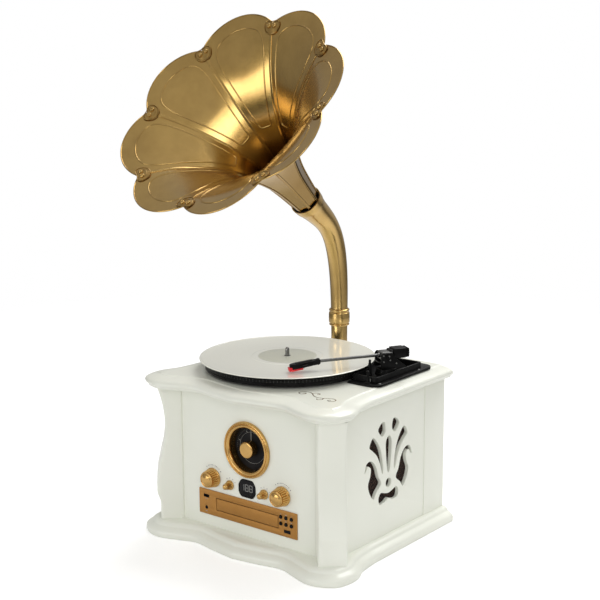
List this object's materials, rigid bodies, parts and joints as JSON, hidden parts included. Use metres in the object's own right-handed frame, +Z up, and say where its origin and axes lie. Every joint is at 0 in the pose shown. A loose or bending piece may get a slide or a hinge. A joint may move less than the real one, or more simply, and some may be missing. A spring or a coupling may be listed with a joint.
{
  "type": "horn record player",
  "caption": "Tabletop record player in antique phonograph style: moulded cabinet, belt drive deck with tonearm, radio dial, disc tray and a swivelling petal horn.",
  "frame": {"origin": "on the floor under the middle of the cabinet", "axes": "+X to the right seen from the front, +Y to the back, +Z up"},
  "size_m": [0.4902, 0.4429, 0.8779],
  "materials": {
    "cabinet_white": "gloss white lacquer on board",
    "speaker_cloth": "woven",
    "black_plastic": "satin moulded",
    "black_gloss": "gloss",
    "dial_black": "printed scale",
    "grey_plastic": "satin",
    "tonearm_grey": "satin dark",
    "circuit_green": "solder mask",
    "copper_trim": "satin copper",
    "brass": "satin antique",
    "bright_steel": "polished",
    "record_white": "gloss pressed",
    "belt_rubber": "matte",
    "stylus_red": "gloss"
  },
  "bodies": {
    "cabinet": {"base_board": "cabinet_white", "top_board": "cabinet_white", "front_panel": "cabinet_white", "back_panel": "cabinet_white", "side_panel_left": "cabinet_white", "side_panel_right": "cabinet_white", "corner_post_left": "cabinet_white", "corner_post_right": "cabinet_white", "speaker_cloth_left": "speaker_cloth", "speaker_cloth_right": "speaker_cloth", "speaker_left": "black_plastic", "speaker_right": "black_plastic", "main_board": "circuit_green", "fascia_strip": "copper_trim", "sensor_window": "black_gloss", "dial_bezel": "copper_trim", "dial_face": "dial_black", "display_window": "black_gloss", "disc_drive": "grey_plastic", "memory_stick_socket": "black_plastic", "headphone_jack": "black_plastic", "drive_belt": "belt_rubber", "motor": "grey_plastic", "deck_plate": "black_plastic", "tonearm_pedestal": "black_plastic", "horn_bracket": "brass", "horn_base_tube": "brass", "horn_coupling": "brass"},
    "platter": {"platter": "black_plastic", "spindle": "bright_steel", "record": "record_white"},
    "motor_pulley": {"motor_pulley": "bright_steel"},
    "tonearm_yoke": {"tonearm_yoke": "black_plastic"},
    "tonearm": {"tonearm_tube": "tonearm_grey", "headshell": "black_plastic", "stylus": "stylus_red", "counterweight": "black_plastic"},
    "speed_lever": {"speed_lever": "tonearm_grey"},
    "horn": {"horn_elbow": "brass", "throat_gasket": "belt_rubber", "horn_petal_1": "brass", "horn_petal_2": "brass", "horn_petal_3": "brass", "horn_petal_4": "brass", "horn_petal_5": "brass", "horn_petal_6": "brass", "horn_petal_7": "brass", "horn_petal_8": "brass"},
    "volume_knob": {"volume_knob": "copper_trim"},
    "tuning_knob": {"tuning_knob": "copper_trim"},
    "tone_knob": {"tone_knob": "copper_trim"},
    "function_knob": {"function_knob": "copper_trim"},
    "dial_pointer": {"dial_pointer": "copper_trim"},
    "disc_tray": {"disc_tray": "copper_trim"},
    "push_button_1": {"push_button_1": "black_plastic"},
    "push_button_2": {"push_button_2": "black_plastic"},
    "push_button_3": {"push_button_3": "black_plastic"},
    "push_button_4": {"push_button_4": "black_plastic"},
    "push_button_5": {"push_button_5": "black_plastic"},
    "push_button_6": {"push_button_6": "black_plastic"}
  },
  "joints": [
    {"name": "platter_spin", "type": "hinge", "parent": "cabinet", "child": "platter", "pos_m": [-0.029, 0.01, 0.299], "axis": [0, 0, 1], "continuous": true},
    {"name": "motor_spin", "type": "hinge", "parent": "cabinet", "child": "motor_pulley", "pos_m": [-0.1156, -0.04, 0.29], "axis": [0, 0, 1], "continuous": true},
    {"name": "tonearm_swing", "type": "hinge", "parent": "cabinet", "child": "tonearm_yoke", "pos_m": [0.138, 0.064, 0.3175], "axis": [0, 0, 1], "range_deg": [-18, 28]},
    {"name": "tonearm_lift", "type": "hinge", "parent": "tonearm_yoke", "child": "tonearm", "pos_m": [0.138, 0.064, 0.3175], "axis": [-0.8431, 0.5377, 0], "range_deg": [0, 12]},
    {"name": "speed_select", "type": "slide", "parent": "cabinet", "child": "speed_lever", "axis": [1, 0, 0], "range_m": [-0.006, 0.006]},
    {"name": "horn_swivel", "type": "hinge", "parent": "cabinet", "child": "horn", "pos_m": [-0.064, 0.205, 0.34], "axis": [0, 0, 1], "range_deg": [-90, 90]},
    {"name": "volume_turn", "type": "hinge", "parent": "cabinet", "child": "volume_knob", "pos_m": [-0.075, -0.1334, 0.1123], "axis": [0, -1, 0], "range_deg": [-140, 140]},
    {"name": "tuning_turn", "type": "hinge", "parent": "cabinet", "child": "tuning_knob", "pos_m": [0.075, -0.1334, 0.1123], "axis": [0, -1, 0], "range_deg": [-360, 360]},
    {"name": "tone_turn", "type": "hinge", "parent": "cabinet", "child": "tone_knob", "pos_m": [-0.037, -0.1334, 0.107], "axis": [0, -1, 0], "range_deg": [-140, 140]},
    {"name": "function_turn", "type": "hinge", "parent": "cabinet", "child": "function_knob", "pos_m": [0.037, -0.1334, 0.107], "axis": [0, -1, 0], "range_deg": [-60, 60]},
    {"name": "pointer_turn", "type": "hinge", "parent": "cabinet", "child": "dial_pointer", "pos_m": [0.0018, -0.1334, 0.1757], "axis": [0, -1, 0], "range_deg": [-120, 120]},
    {"name": "tray_slide", "type": "slide", "parent": "cabinet", "child": "disc_tray", "axis": [0, -1, 0], "range_m": [0, 0.125]},
    {"name": "button_1_press", "type": "slide", "parent": "cabinet", "child": "push_button_1", "axis": [0, 1, 0], "range_m": [0, 0.0015], "stiffness_N_per_m": 200, "springref_m": -0.001},
    {"name": "button_2_press", "type": "slide", "parent": "cabinet", "child": "push_button_2", "axis": [0, 1, 0], "range_m": [0, 0.0015], "stiffness_N_per_m": 200, "springref_m": -0.001},
    {"name": "button_3_press", "type": "slide", "parent": "cabinet", "child": "push_button_3", "axis": [0, 1, 0], "range_m": [0, 0.0015], "stiffness_N_per_m": 200, "springref_m": -0.001},
    {"name": "button_4_press", "type": "slide", "parent": "cabinet", "child": "push_button_4", "axis": [0, 1, 0], "range_m": [0, 0.0015], "stiffness_N_per_m": 200, "springref_m": -0.001},
    {"name": "button_5_press", "type": "slide", "parent": "cabinet", "child": "push_button_5", "axis": [0, 1, 0], "range_m": [0, 0.0015], "stiffness_N_per_m": 200, "springref_m": -0.001},
    {"name": "button_6_press", "type": "slide", "parent": "cabinet", "child": "push_button_6", "axis": [0, 1, 0], "range_m": [0, 0.0015], "stiffness_N_per_m": 200, "springref_m": -0.001}
  ],
  "couplings": [
    {"joint": "motor_spin", "follows": "platter_spin", "ratio": 10.667},
    {"joint": "pointer_turn", "follows": "tuning_turn", "ratio": 0.3333}
  ]
}
